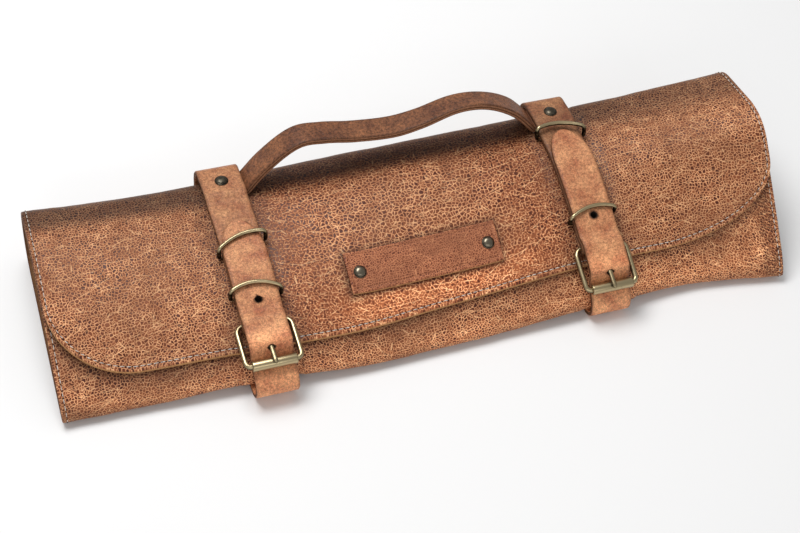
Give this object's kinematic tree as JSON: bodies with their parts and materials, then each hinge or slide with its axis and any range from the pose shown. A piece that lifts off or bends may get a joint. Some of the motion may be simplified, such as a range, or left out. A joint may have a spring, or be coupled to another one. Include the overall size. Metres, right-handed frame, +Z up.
{
  "type": "chef knife roll",
  "caption": "Rolled leather case for kitchen knives, closed by buckled belts, with a strap handle on top and rounded flap corners.",
  "frame": {"origin": "centre of the bounding box's footprint, on the surface the roll lies on", "axes": "+X along the roll, from the end at the left of the front to the end at the right; +Y from the buckled front to the back fold; +Z up"},
  "size_m": [0.4678, 0.1562, 0.0875],
  "materials": {
    "wrap_leather": "waxed crackled brown leather",
    "strap_leather": "smooth tan-brown strap leather",
    "label_leather": "dark brown leather",
    "antique_brass": "antique, worn bright on the edges",
    "rivet_metal": "dark gunmetal"
  },
  "bodies": {
    "root": {"roll_wrap": "wrap_leather", "belt_left": "strap_leather", "belt_right": "strap_leather", "handle": "strap_leather", "label": "label_leather", "buckle_frame_left": "antique_brass", "buckle_frame_right": "antique_brass", "buckle_roller_left": "antique_brass", "buckle_roller_right": "antique_brass", "buckle_prong_left": "antique_brass", "buckle_prong_right": "antique_brass", "keeper_lower_left": "antique_brass", "keeper_upper_left": "antique_brass", "keeper_lower_right": "antique_brass", "keeper_upper_right": "antique_brass", "belt_rivet_left": "rivet_metal", "belt_rivet_right": "rivet_metal", "label_rivet_left": "rivet_metal", "label_rivet_right": "rivet_metal"}
  },
  "joints": []
}
